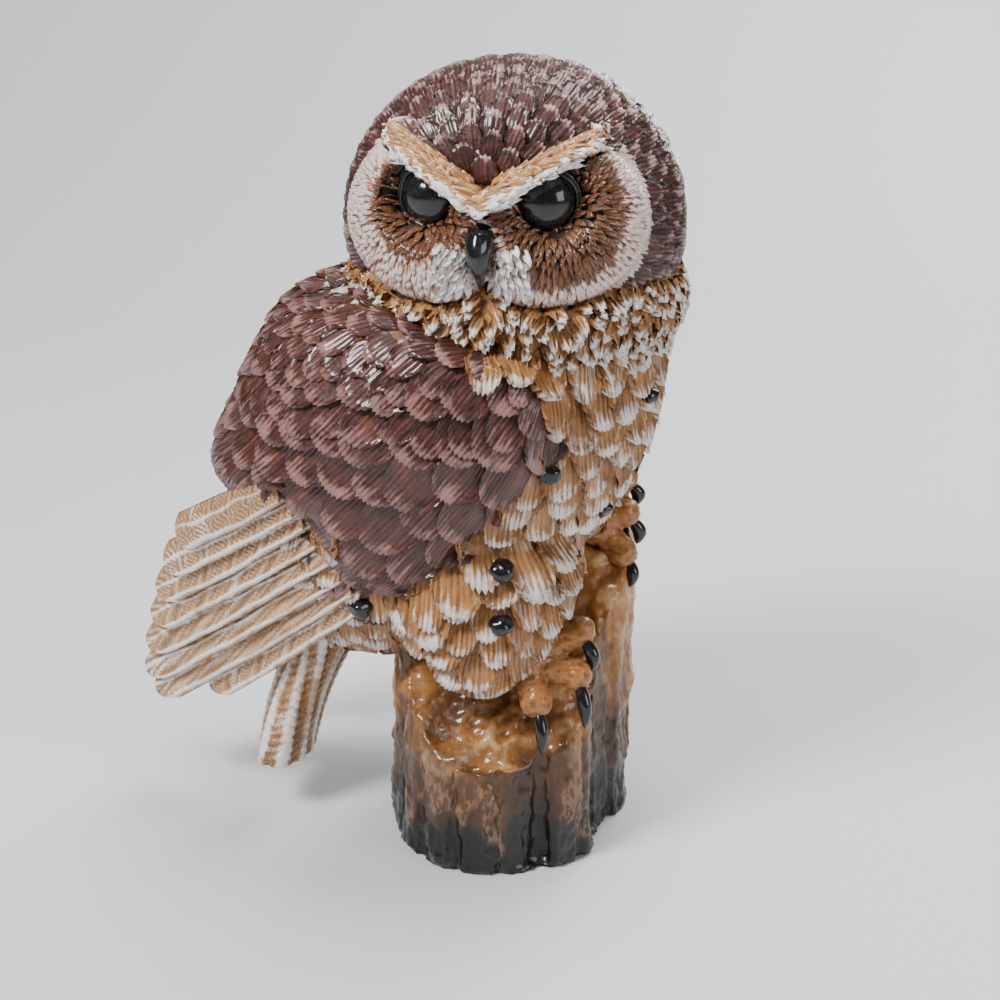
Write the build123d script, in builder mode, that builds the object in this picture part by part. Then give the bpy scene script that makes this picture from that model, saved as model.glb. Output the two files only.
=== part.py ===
"""Owl figurine: a painted resin owl perched on a tree stump, in millimetres, +Z up.

The origin is the centre of the stump's flat underside. The owl's body is turned towards +X, and its
head looks back over its right shoulder, towards -Y. Every piece lies on its neighbours face to face.
"""

from build123d import *
from math import cos, radians, sin
import os

# Directions and axes.
BODY_TURN = 72
HEAD_TURN = -12
UP = Vector(0, 0, 1)
FORWARD = Vector(0, -1, 0).rotate(Axis.Z, BODY_TURN)
RIGHT = Vector(-1, 0, 0).rotate(Axis.Z, BODY_TURN)
FACING = Vector(0, -1, 0).rotate(Axis.Z, HEAD_TURN)
ACROSS = Vector(1, 0, 0).rotate(Axis.Z, HEAD_TURN)
BODY_AXIS = Vector(-8, 3, 0)
HEAD_AXIS = Vector(-0.2, 0.5, 0)
SIDE_PLANE = Plane(origin=BODY_AXIS, x_dir=FORWARD, z_dir=RIGHT)
FACE_PLANE = Plane(origin=HEAD_AXIS, x_dir=ACROSS, z_dir=FACING)
REACH = 60

# Level sections of the body: height, offset forward, half length and half width.
BODY_SECTIONS = [
    (35, -16.5, 13, 11.5),
    (43, -12.3, 22.8, 18.2),
    (53, -11, 28.7, 22.3),
    (61, -10, 33, 24.2),
    (69, -7, 35.5, 26),
    (80, -2.4, 34.6, 27),
    (92, 1.5, 32.5, 26),
    (101, 6.2, 24.3, 21),
    (107, 7, 17, 15),
]

# Level sections of the head: height, half width and half depth.
HEAD_SECTIONS = [
    (95, 20, 17),
    (102, 25.5, 21.5),
    (109, 27.3, 23.3),
    (116, 26.8, 23.7),
    (123, 24.3, 22.5),
    (129, 19.8, 19),
    (133, 14.5, 14),
    (135.4, 8, 8),
    (136.2, 3, 3),
]

# Face: a dished disc round each eye, the rims round the eyeballs, and a V-shaped brow between them.
EYE_SPREAD = 8.8
EYE_HEIGHT = 118.3
EYE_RADIUS = 5
EYE_DEPTH = 18.5
EYE_SPLAY = 16
RIM_RADIUS = 4.9
RIM_WIRE = 0.8
RIM_FORWARD = 2.2
DISC_COVER = 2.4
DISC_OUTLINE = [
    (1.8, 115),
    (7, 119.5),
    (15.5, 126.5),
    (22, 121),
    (23.8, 112),
    (19, 105),
    (9, 102),
    (2.6, 104),
]
DISH_RADIUS = 9.5
DISH_DEPTH = 5
BROW_COVER = 4.2
BROW_OUTLINE = [(0, 120.6), (8, 125.2), (16.6, 129.2), (17.2, 126.4), (9, 121.4), (0, 116)]

# Beak: height, distance in front of the head's axis, half width and half depth.
BEAK_SECTIONS = [(114, 24, 1.6, 2), (111.5, 25, 2.5, 3), (108.5, 26, 2, 2.4), (105.3, 26.8, 0.7, 0.9)]

# Neck ruff: height, half width and half depth of its level sections.
RUFF_SECTIONS = [(93.5, 25.5, 22.5), (97, 28, 25), (101.5, 28, 24.5), (105.5, 26, 22)]

# Covert shells of a wing in the side plane: distance forward and height.
SHOULDER_COVER = 4
SHOULDER_OUTLINE = [
    (-48, 83),
    (-20, 78),
    (4, 76),
    (20, 80),
    (22.5, 87),
    (17, 94),
    (0, 99),
    (-20, 106),
    (-48, 106),
]
COVERT_COVER = 3
COVERT_OUTLINE = [
    (-50, 90),
    (-50, 66),
    (-30, 65),
    (-18, 66.5),
    (-15, 60),
    (-13, 54.5),
    (-6, 53.5),
    (4, 60),
    (14, 70),
    (20, 77),
    (18, 86),
]

# Flight feathers: blades that leave the wing under the coverts and slope down to the rear.
BLADE_LENGTHS = [24.5, 31.5, 37.5, 43, 48.5, 53, 54, 41]
BLADE_PLANE_TOE_IN = 17
BLADE_PLANE_FORWARD = -17
BLADE_PLANE_SIDE = 26.5
BLADE_ROOT = (-10, 67)
BLADE_ROOT_STEP = (1.6, -2.8)
BLADE_SLOPE = 28
BLADE_SLOPE_STEP = 1
BLADE_ROOT_WIDTH = 4
BLADE_WIDTH = 6.6
BLADE_TIP = 4
BLADE_THICKNESS = 1

# Tail: centre, half width along the body and half width across it.
TAIL_STATIONS = [((-26, 6.5, 46), 7, 9), ((-36, 7, 30), 5.5, 8.5), ((-42, 8, 10), 4.6, 7.5)]

# Feathered thighs: centre, half width along X and half width along Y.
THIGHS = {
    "right": [
        ((-6, -8, 58), 17, 13),
        ((-6, -11, 47), 15, 11),
        ((-6, -14, 39), 9.5, 7.5),
        ((-6, -15.5, 34), 4, 4),
    ],
    "left": [((3, 11, 68), 14, 12), ((8, 11, 60), 10, 9), ((12, 10, 54), 6, 6)],
}

# Feet: the palm, then the root and the tip of each claw.
PALM_RADIUS = 4.5
TOE_RADIUS = 2.7
TOE_WAIST = 2.3
CLAW_RADIUS = 1.7
CLAW_TIP_RADIUS = 0.6
FEET = {
    "right": (
        (1.5, -13.5, 38.5),
        [
            ((3.6, -18.2, 32.5), (4.6, -21, 24.3)),
            ((10.4, -14.8, 36), (12, -17.5, 27.5)),
            ((11, -11.5, 42.5), (13, -14, 36.5)),
        ],
    ),
    "left": (
        (14, 9, 55.5),
        [
            ((19.2, 6.5, 50), (21, 5.8, 44)),
            ((19.7, 9.3, 56.5), (22.2, 8.9, 51.1)),
            ((19.4, 12.3, 62), (22, 12, 57.3)),
        ],
    ),
}

# Raised black flecks in the plumage: bearing from straight ahead towards the right, height and radius.
FLECKS = [
    (43.6, 74.6, 2.2),
    (58.2, 57.4, 2.4),
    (59, 48.4, 2.2),
    (120.2, 47.8, 2.2),
    (10.8, 64.6, 2.2),
    (7.4, 84.4, 1.8),
]

# Stump: its outline on the ground, and the side view of its carved top from front to back.
STUMP_HEIGHT = 62
STUMP_NARROWING = 0.95
STUMP_OUTLINE = [
    (18, 0),
    (20.6, 17),
    (17, 23),
    (4, 25),
    (-10, 23.5),
    (-20, 16),
    (-22, 4),
    (-20, -8),
    (-14, -17),
    (-3, -20.5),
    (5, -18.5),
    (13, -13.5),
]
STUMP_TOP = [(-45, 19.5), (-19, 20), (-12, 28), (-5, 37), (5, 48), (13, 57), (45, 60)]
GROOVE_COUNT = 18
GROOVE_RADIUS = 1


def finish(piece, name):
    """Keep the largest solid of a piece, label it and write it to its own file."""
    solid = piece.solids().sort_by(SortBy.VOLUME)[-1]
    solid.label = name
    export_step(solid, f"parts/{name}.step")
    return solid


def level(centre, x_dir):
    """Return a level plane at a centre."""
    return Plane(origin=centre, x_dir=x_dir, z_dir=UP)


def oval(plane, half_x, half_y):
    """Return an oval face on a plane."""
    with BuildSketch(plane) as sketch:
        Ellipse(half_x, half_y)
    return sketch.sketch.face()


def body_ovals(cover=0):
    """Return the body's level sections, grown outwards by a cover."""
    return [
        oval(level(BODY_AXIS + FORWARD * forward + UP * height, FORWARD), length + cover, width + cover)
        for height, forward, length, width in BODY_SECTIONS
    ]


def head_ovals(sections, cover=0):
    """Return level sections centred on the head's axis, grown outwards by a cover."""
    return [
        oval(level(HEAD_AXIS + UP * height, ACROSS), width + cover, depth + cover)
        for height, width, depth in sections
    ]


def standing_ovals(stations):
    """Return level ovals at the given centres."""
    return [oval(Plane(origin=centre, z_dir=UP), half_x, half_y) for centre, half_x, half_y in stations]


def mirrored(outline):
    """Return an outline in the face plane flipped to the other side of the face."""
    return [(-x, y) for x, y in outline]


def limb(start, end):
    """Return the plane at the start of a limb that looks towards its end, and the limb's length."""
    span = Vector(end) - Vector(start)
    return Plane(origin=start, z_dir=span), span.length


os.makedirs("parts", exist_ok=True)

# Eyes and their rims. The owl's right side of the face is on the -X side.
eyes = {}
rims = {}
for side, sign in (("right", -1), ("left", 1)):
    gaze = FACING.rotate(Axis.Z, sign * EYE_SPLAY)
    centre = HEAD_AXIS + ACROSS * (sign * EYE_SPREAD) + FACING * EYE_DEPTH + UP * EYE_HEIGHT
    with BuildPart() as eye:
        with Locations(centre):
            Sphere(EYE_RADIUS)
    eyes[side] = finish(eye.part, f"{side}_eye")
    with BuildPart() as rim:
        with Locations(Plane(origin=centre + gaze * RIM_FORWARD, z_dir=gaze)):
            Torus(RIM_RADIUS, RIM_WIRE)
        add(eye.part, mode=Mode.SUBTRACT)
    rims[side] = finish(rim.part, f"{side}_eye_rim")
    if side == "right":
        dish_plane = Plane(origin=centre + gaze * EYE_RADIUS, z_dir=gaze)

# Head.
with BuildPart() as head:
    loft(head_ovals(HEAD_SECTIONS))
    for socketed in (*eyes.values(), *rims.values()):
        add(socketed, mode=Mode.SUBTRACT)
head = finish(head.part, "head")

# Beak.
with BuildPart() as beak:
    loft([
        oval(level(HEAD_AXIS + FACING * ahead + UP * height, ACROSS), width, depth)
        for height, ahead, width, depth in BEAK_SECTIONS
    ])
    add(head, mode=Mode.SUBTRACT)
beak = finish(beak.part, "beak")

# Brow.
with BuildPart() as brow:
    loft(head_ovals(HEAD_SECTIONS, BROW_COVER))
    with BuildSketch(FACE_PLANE):
        with BuildLine():
            Polyline(*BROW_OUTLINE, *reversed(mirrored(BROW_OUTLINE)[1:-1]), close=True)
        make_face()
    extrude(amount=REACH, mode=Mode.INTERSECT)
    for neighbour in (head, beak, *eyes.values(), *rims.values()):
        add(neighbour, mode=Mode.SUBTRACT)
brow = finish(brow.part, "brow")

# Facial discs: the right one, then its mirror image.
with BuildPart() as disc:
    loft(head_ovals(HEAD_SECTIONS, DISC_COVER))
    with BuildSketch(FACE_PLANE):
        with BuildLine():
            Spline(*mirrored(DISC_OUTLINE), periodic=True)
        make_face()
    extrude(amount=REACH, mode=Mode.INTERSECT)
    with Locations(dish_plane):
        Cone(EYE_RADIUS, DISH_RADIUS, DISH_DEPTH, mode=Mode.SUBTRACT)
    for neighbour in (head, beak, brow, eyes["right"], rims["right"]):
        add(neighbour, mode=Mode.SUBTRACT)
right_disc = finish(disc.part, "right_facial_disc")

with BuildPart() as disc:
    mirror(right_disc, about=Plane(origin=HEAD_AXIS, x_dir=FACING, z_dir=ACROSS))
left_disc = finish(disc.part, "left_facial_disc")

# Body.
with BuildPart() as body:
    loft(body_ovals())
    for neighbour in (head, right_disc, left_disc):
        add(neighbour, mode=Mode.SUBTRACT)
body = finish(body.part, "body")

# Wings: two covert shells and a fan of flight feathers on the right, then the same mirrored.
with BuildPart() as shoulder:
    loft(body_ovals(SHOULDER_COVER))
    with BuildSketch(SIDE_PLANE):
        with BuildLine():
            Polyline(*SHOULDER_OUTLINE, close=True)
        make_face()
    extrude(amount=REACH, mode=Mode.INTERSECT)
    for neighbour in (body, head):
        add(neighbour, mode=Mode.SUBTRACT)
shoulder = finish(shoulder.part, "right_shoulder_coverts")

with BuildPart() as coverts:
    loft(body_ovals(COVERT_COVER))
    with BuildSketch(SIDE_PLANE):
        with BuildLine():
            Polyline(*COVERT_OUTLINE, close=True)
        make_face()
    extrude(amount=REACH, mode=Mode.INTERSECT)
    for neighbour in (body, shoulder):
        add(neighbour, mode=Mode.SUBTRACT)
coverts = finish(coverts.part, "right_wing_coverts")

blade_origin = BODY_AXIS + FORWARD * BLADE_PLANE_FORWARD + RIGHT * BLADE_PLANE_SIDE
blade_side = RIGHT.rotate(Axis.Z, -BLADE_PLANE_TOE_IN)
blade_ahead = FORWARD.rotate(Axis.Z, -BLADE_PLANE_TOE_IN)
blades = []
for number, length in enumerate(BLADE_LENGTHS):
    slope = radians(BLADE_SLOPE + BLADE_SLOPE_STEP * number)
    root = (BLADE_ROOT[0] + BLADE_ROOT_STEP[0] * number, BLADE_ROOT[1] + BLADE_ROOT_STEP[1] * number)
    origin = blade_origin + blade_ahead * root[0] + UP * root[1] - blade_side * (BLADE_THICKNESS * number)
    along = blade_ahead * -cos(slope) - UP * sin(slope)
    with BuildPart() as blade:
        with BuildSketch(Plane(origin=origin, x_dir=along, z_dir=blade_side)):
            with BuildLine():
                Polyline(
                    (length - BLADE_TIP, BLADE_WIDTH / 2),
                    (0, BLADE_ROOT_WIDTH / 2),
                    (0, -BLADE_ROOT_WIDTH / 2),
                    (length - BLADE_TIP, -BLADE_WIDTH / 2),
                )
                ThreePointArc(
                    (length - BLADE_TIP, -BLADE_WIDTH / 2),
                    (length, 0),
                    (length - BLADE_TIP, BLADE_WIDTH / 2),
                )
            make_face()
        extrude(amount=BLADE_THICKNESS)
        for neighbour in (body, coverts, shoulder):
            add(neighbour, mode=Mode.SUBTRACT)
    blades.append(finish(blade.part, f"right_flight_feather_{number + 1}"))

left_wing = []
for source in (shoulder, coverts, *blades):
    with BuildPart() as twin:
        mirror(source, about=SIDE_PLANE)
    left_wing.append(finish(twin.part, source.label.replace("right", "left")))

# Neck ruff.
with BuildPart() as ruff:
    loft(head_ovals(RUFF_SECTIONS))
    for neighbour in (head, body, beak, right_disc, left_disc, shoulder, left_wing[0]):
        add(neighbour, mode=Mode.SUBTRACT)
ruff = finish(ruff.part, "neck_ruff")

# Tail.
with BuildPart() as tail:
    loft([
        oval(level(centre, FORWARD), along, across)
        for centre, along, across in TAIL_STATIONS
    ])
    add(body, mode=Mode.SUBTRACT)
tail = finish(tail.part, "tail")

# Stump.
with BuildPart() as stump:
    with BuildSketch() as bark:
        with BuildLine():
            edge = Spline(*STUMP_OUTLINE, periodic=True)
        make_face()
        with Locations([edge @ (number / GROOVE_COUNT) for number in range(GROOVE_COUNT)]):
            Circle(GROOVE_RADIUS, mode=Mode.SUBTRACT)
    with BuildSketch(Plane.XY.offset(STUMP_HEIGHT)):
        add(bark.sketch)
        scale(by=STUMP_NARROWING)
    loft(ruled=True)
    with BuildSketch(Plane.YZ):
        with BuildLine():
            Polyline(*STUMP_TOP, (45, 90), (-45, 90), close=True)
        make_face()
    extrude(amount=REACH, both=True, mode=Mode.SUBTRACT)
    add(body, mode=Mode.SUBTRACT)
stump = finish(stump.part, "stump")

# Thighs.
thighs = {}
for side, stations in THIGHS.items():
    with BuildPart() as thigh:
        loft(standing_ovals(stations))
        for neighbour in (body, stump, coverts, left_wing[1]):
            add(neighbour, mode=Mode.SUBTRACT)
    thighs[side] = finish(thigh.part, f"{side}_thigh")

# Feet and claws.
for side, (palm, claws) in FEET.items():
    with BuildPart() as foot:
        with Locations(palm):
            Sphere(PALM_RADIUS)
        for claw_root, _ in claws:
            plane, length = limb(palm, claw_root)
            with Locations(plane):
                Cone(TOE_RADIUS, TOE_WAIST, length, align=(Align.CENTER, Align.CENTER, Align.MIN))
            with Locations(claw_root):
                Sphere(TOE_RADIUS)
        for neighbour in (stump, body, thighs[side]):
            add(neighbour, mode=Mode.SUBTRACT)
    foot = finish(foot.part, f"{side}_foot")
    for number, (claw_root, claw_tip) in enumerate(claws):
        plane, length = limb(claw_root, claw_tip)
        with BuildPart() as claw:
            with Locations(plane):
                Cone(CLAW_RADIUS, CLAW_TIP_RADIUS, length, align=(Align.CENTER, Align.CENTER, Align.MIN))
            for neighbour in (foot, stump, body, thighs[side]):
                add(neighbour, mode=Mode.SUBTRACT)
        finish(claw.part, f"{side}_claw_{number + 1}")

# Black flecks.
for number, (bearing, height, radius) in enumerate(FLECKS):
    outward = FORWARD.rotate(Axis.Z, -bearing)
    spoke = Axis(BODY_AXIS + UP * height, outward)
    hits = [
        point
        for neighbour in (body, coverts, thighs["right"])
        for point, _ in neighbour.find_intersection_points(spoke)
    ]
    centre = max(hits, key=lambda point: (point - spoke.position).dot(outward))
    with BuildPart() as fleck:
        with Locations(centre):
            Sphere(radius)
        for neighbour in (body, coverts, blades[-1], thighs["right"]):
            add(neighbour, mode=Mode.SUBTRACT)
    finish(fleck.part, f"black_fleck_{number + 1}")
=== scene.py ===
"""Looks of the owl figurine: sculpted plumage, face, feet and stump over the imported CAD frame."""

from math import cos, pi, radians, sin

import bpy
import numpy as np
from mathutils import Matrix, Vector, noise
from mathutils.bvhtree import BVHTree


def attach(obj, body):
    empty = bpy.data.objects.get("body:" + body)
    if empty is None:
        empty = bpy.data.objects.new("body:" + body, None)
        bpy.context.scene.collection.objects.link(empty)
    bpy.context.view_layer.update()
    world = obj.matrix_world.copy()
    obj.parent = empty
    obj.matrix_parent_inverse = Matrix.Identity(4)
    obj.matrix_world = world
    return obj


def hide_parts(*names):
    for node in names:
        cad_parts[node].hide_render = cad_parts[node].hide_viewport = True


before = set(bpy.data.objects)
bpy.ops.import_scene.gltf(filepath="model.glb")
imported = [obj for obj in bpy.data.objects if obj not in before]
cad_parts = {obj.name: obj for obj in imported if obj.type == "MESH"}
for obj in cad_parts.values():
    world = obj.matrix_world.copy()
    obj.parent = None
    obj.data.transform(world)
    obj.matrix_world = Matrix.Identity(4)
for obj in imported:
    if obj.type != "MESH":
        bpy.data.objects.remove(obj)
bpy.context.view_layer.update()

MM = 0.001
ROOT = "root"
SIDES = {"right": -1, "left": 1}
UP = np.array([0.0, 0.0, 1.0])
ROW_JITTER = 0.35
random = np.random.default_rng(11)


# ---- vectors

def unit(vectors):
    """Return vectors scaled to length one."""
    vectors = np.asarray(vectors, float)
    return vectors / np.maximum(np.linalg.norm(vectors, axis=-1, keepdims=True), 1e-12)


def turned(vector, degrees):
    """Return a vector turned about the vertical."""
    angle = radians(degrees)
    x, y, z = vector
    return np.array([x * cos(angle) - y * sin(angle), x * sin(angle) + y * cos(angle), z])


def smoothstep(low, high, value):
    """Return 0 below low, 1 above high and an S-curve between."""
    share = np.clip((value - low) / (high - low), 0, 1)
    return share * share * (3 - 2 * share)


def read(vertices, attribute):
    """Return a vector attribute of mesh vertices as an array."""
    values = np.empty(len(vertices) * 3)
    vertices.foreach_get(attribute, values)
    return values.reshape(-1, 3)


def node_points(name):
    """Return a CAD node's vertices in millimetres."""
    return read(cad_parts[name].data.vertices, "co") / MM


def node_centre(name):
    """Return the middle of a CAD node's box in millimetres."""
    points = node_points(name)
    return (points.min(0) + points.max(0)) / 2


def ridged(points, size, octaves):
    """Return noise from about -1 to 1 with sharp crests, with features of a size in mm."""
    values = [noise.ridged_multi_fractal(Vector(p) / size, 1.0, 2.1, octaves, 0.9, 1.6) for p in points]
    values = np.array(values)
    low, high = np.percentile(values, [3, 97])
    return np.clip((values - low) / (high - low) * 2 - 1, -1.2, 1.2)


def rough(points, size, octaves):
    """Return fractal noise from about -1 to 1 with features of a size in mm."""
    return np.array([noise.fractal(Vector(p) / size, 1.0, 2.1, octaves) for p in points])


# ---- meshes

def placed(name, data):
    """Return a new object linked into the scene."""
    made = bpy.data.objects.new(name, data)
    bpy.context.scene.collection.objects.link(made)
    return made


def make_piece(name, points, faces, material, stands_for=(), paint=None):
    """Make a mesh piece from points in millimetres, ride it on the body and hide the CAD nodes it stands
    for.
    """
    mesh = bpy.data.meshes.new(name)
    mesh.from_pydata((np.asarray(points) * MM).tolist(), [], faces)
    mesh.update()
    mesh.polygons.foreach_set("use_smooth", [True] * len(mesh.polygons))
    if paint is not None:
        layer = mesh.color_attributes.new("paint", "FLOAT_COLOR", "POINT")
        layer.data.foreach_set("color", np.asarray(paint, float).ravel())
    mesh.materials.append(material)
    piece = placed(name, mesh)
    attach(piece, ROOT)
    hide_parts(*stands_for)


def joined(names):
    """Return the vertices, faces and face owners of CAD nodes as one mesh, in millimetres."""
    points = []
    faces = []
    owners = []
    start = 0
    for index, name in enumerate(names):
        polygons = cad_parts[name].data.polygons
        points.append(node_points(name))
        faces += [[start + i for i in polygon.vertices] for polygon in polygons]
        owners += [index] * len(polygons)
        start += len(points[-1])
    return np.concatenate(points).tolist(), faces, owners


def wrapped(rows, columns):
    """Return the faces of a grid of rows whose columns close into a ring."""
    faces = []
    for row in range(rows):
        for column in range(columns):
            here = row * columns + column
            after = row * columns + (column + 1) % columns
            faces.append([here, here + columns, after + columns, after])
    return faces


def tube(stations, columns):
    """Return the faces of a tube of rings with both ends closed."""
    last = stations * columns
    return wrapped(stations, columns) + [list(range(columns)), list(range(last, last + columns))[::-1]]


def flipped(faces):
    """Return faces turned inside out."""
    return [[face[0], *face[:0:-1]] for face in faces]


def sphere(rows, columns):
    """Return unit directions in rings from pole to pole, whose faces are wrapped(rows, columns)."""
    polar = np.repeat(np.arange(rows + 1) * pi / rows, columns)
    turn = np.tile(np.arange(columns) * 2 * pi / columns, rows + 1)
    return np.stack([np.sin(polar) * np.cos(turn), np.sin(polar) * np.sin(turn), np.cos(polar)], -1)


def flat_grid(rows, columns):
    """Return the faces of an open grid of points."""
    corners = [r * columns + c for r in range(rows - 1) for c in range(columns - 1)]
    return [[k, k + 1, k + columns + 1, k + columns] for k in corners]


def remeshed(names, voxel, smooth_steps):
    """Return points, faces and normals of CAD nodes joined and rebuilt as even quads, in millimetres."""
    points, faces, _ = joined(names)
    mesh = bpy.data.meshes.new("remesh")
    mesh.from_pydata(points, [], faces)
    holder = placed("remesh", mesh)
    remesh = holder.modifiers.new("remesh", "REMESH")
    remesh.mode = "VOXEL"
    remesh.voxel_size = voxel
    soften = holder.modifiers.new("soften", "SMOOTH")
    soften.iterations = smooth_steps
    graph = bpy.context.evaluated_depsgraph_get()
    result = holder.evaluated_get(graph).to_mesh()
    out = read(result.vertices, "co")
    normals = read(result.vertices, "normal")
    out_faces = [list(polygon.vertices) for polygon in result.polygons]
    holder.to_mesh_clear()
    bpy.data.objects.remove(holder)
    bpy.data.meshes.remove(mesh)
    return out, out_faces, normals


# ---- smooth surfaces under the feathers

class StarSurface:
    """A smooth closed surface round a centre, sampled from CAD nodes by azimuth and elevation."""

    COLUMNS = 160
    ROWS = 80
    FAR = 200
    NORMAL_STEP = 0.04

    def __init__(self, centre, names, smoothing):
        self.centre = np.array(centre, float)
        self.names = list(names)
        points, faces, owners = joined(self.names)
        tree = BVHTree.FromPolygons(points, faces)
        self.radius = np.zeros((self.ROWS + 1, self.COLUMNS))
        self.owner = np.full((self.ROWS + 1, self.COLUMNS), -1)
        for row in range(self.ROWS + 1):
            for column in range(self.COLUMNS):
                outward = Vector(self.direction(row, column))
                start = Vector(self.centre) + outward * self.FAR
                hit, _, face, _ = tree.ray_cast(start, -outward, self.FAR)
                if hit is not None:
                    self.radius[row, column] = (hit - Vector(self.centre)).length
                    self.owner[row, column] = owners[face]
        self.radius[self.radius == 0] = np.median(self.radius[self.radius > 0])
        for _ in range(smoothing):
            self.soften()

    def direction(self, row, column):
        """Return the unit direction of a grid point."""
        elevation = pi * (row / self.ROWS - 0.5)
        azimuth = 2 * pi * column / self.COLUMNS
        return (cos(elevation) * cos(azimuth), cos(elevation) * sin(azimuth), sin(elevation))

    def soften(self):
        """Blur the distances once."""
        around = (np.roll(self.radius, 1, 1) + np.roll(self.radius, -1, 1)) / 2
        level = (self.radius + around) / 2
        padded = np.pad(level, ((1, 1), (0, 0)), "edge")
        self.radius = (padded[:-2] + 2 * padded[1:-1] + padded[2:]) / 4

    def cells(self, directions):
        """Return fractional grid rows and columns of directions."""
        directions = unit(directions)
        elevation = np.arcsin(np.clip(directions[..., 2], -1, 1))
        azimuth = np.arctan2(directions[..., 1], directions[..., 0]) % (2 * pi)
        return (elevation / pi + 0.5) * self.ROWS, azimuth / (2 * pi) * self.COLUMNS

    def distance(self, directions):
        """Return the surface's distance from the centre along directions."""
        rows, columns = self.cells(directions)
        low = np.clip(np.floor(rows).astype(int), 0, self.ROWS - 1)
        left = np.floor(columns).astype(int) % self.COLUMNS
        right = (left + 1) % self.COLUMNS
        up = rows - low
        along = columns - np.floor(columns)
        bottom = self.radius[low, left] * (1 - along) + self.radius[low, right] * along
        top = self.radius[low + 1, left] * (1 - along) + self.radius[low + 1, right] * along
        return bottom * (1 - up) + top * up

    def onto(self, points):
        """Return points moved onto the surface along the line to the centre."""
        outward = unit(points - self.centre)
        return self.centre + outward * self.distance(outward)[..., None]

    def normal(self, points):
        """Return the surface's outward normals at points."""
        outward = unit(points - self.centre)
        helper = np.where(np.abs(outward[..., 2:3]) > 0.9, [1.0, 0, 0], [0, 0, 1.0])
        first = unit(np.cross(helper, outward))
        second = np.cross(outward, first)
        spans = []
        for way in (first, second):
            ahead = self.onto(self.centre + outward + way * self.NORMAL_STEP)
            behind = self.onto(self.centre + outward - way * self.NORMAL_STEP)
            spans.append(ahead - behind)
        return unit(np.cross(*spans))

    def owners(self, points):
        """Return the name of the CAD node under each point."""
        rows, columns = self.cells(points - self.centre)
        rows = np.clip(np.rint(rows).astype(int), 0, self.ROWS)
        columns = np.rint(columns).astype(int) % self.COLUMNS
        names = np.array(self.names + ["none"])
        return names[self.owner[rows, columns]]

    def everywhere(self, count=30000):
        """Return points spread evenly over the whole surface, on a golden spiral."""
        index = np.arange(count) + 0.5
        height = 1 - 2 * index / count
        angle = pi * (1 + 5 ** 0.5) * index
        ring = np.sqrt(1 - height * height)
        return self.onto(self.centre + np.stack([ring * np.cos(angle), ring * np.sin(angle), height], -1))

    def core(self, sink):
        """Return points and faces of the closed surface, sunk by a depth."""
        columns = self.COLUMNS
        grid = np.array([self.direction(r, c) for r in range(1, self.ROWS) for c in range(columns)])
        points = self.onto(self.centre + grid)
        points -= self.normal(points) * sink
        ends = self.onto(self.centre + np.array([[0, 0, -1.0], [0, 0, 1.0]]))
        ends[0, 2] += sink
        ends[1, 2] -= sink
        faces = flipped(wrapped(self.ROWS - 2, columns))
        last = (self.ROWS - 2) * columns
        bottom, top = len(points), len(points) + 1
        for column in range(columns):
            after = (column + 1) % columns
            faces.append([bottom, after, column])
            faces.append([top, last + column, last + after])
        return np.concatenate([points, ends]), faces


def spread(candidates, spacing, order):
    """Pick points at least a spacing apart, in rows that follow an order along the feathers."""
    jitter = random.uniform(-ROW_JITTER, ROW_JITTER, len(candidates)) * spacing
    ranked = candidates[np.argsort(order + jitter)]
    chosen = np.empty((0, 3))
    for point in ranked:
        if len(chosen) == 0 or ((chosen - point) ** 2).sum(1).min() > spacing * spacing:
            chosen = np.vstack([chosen, point])
    return chosen


# ---- feathers

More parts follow.
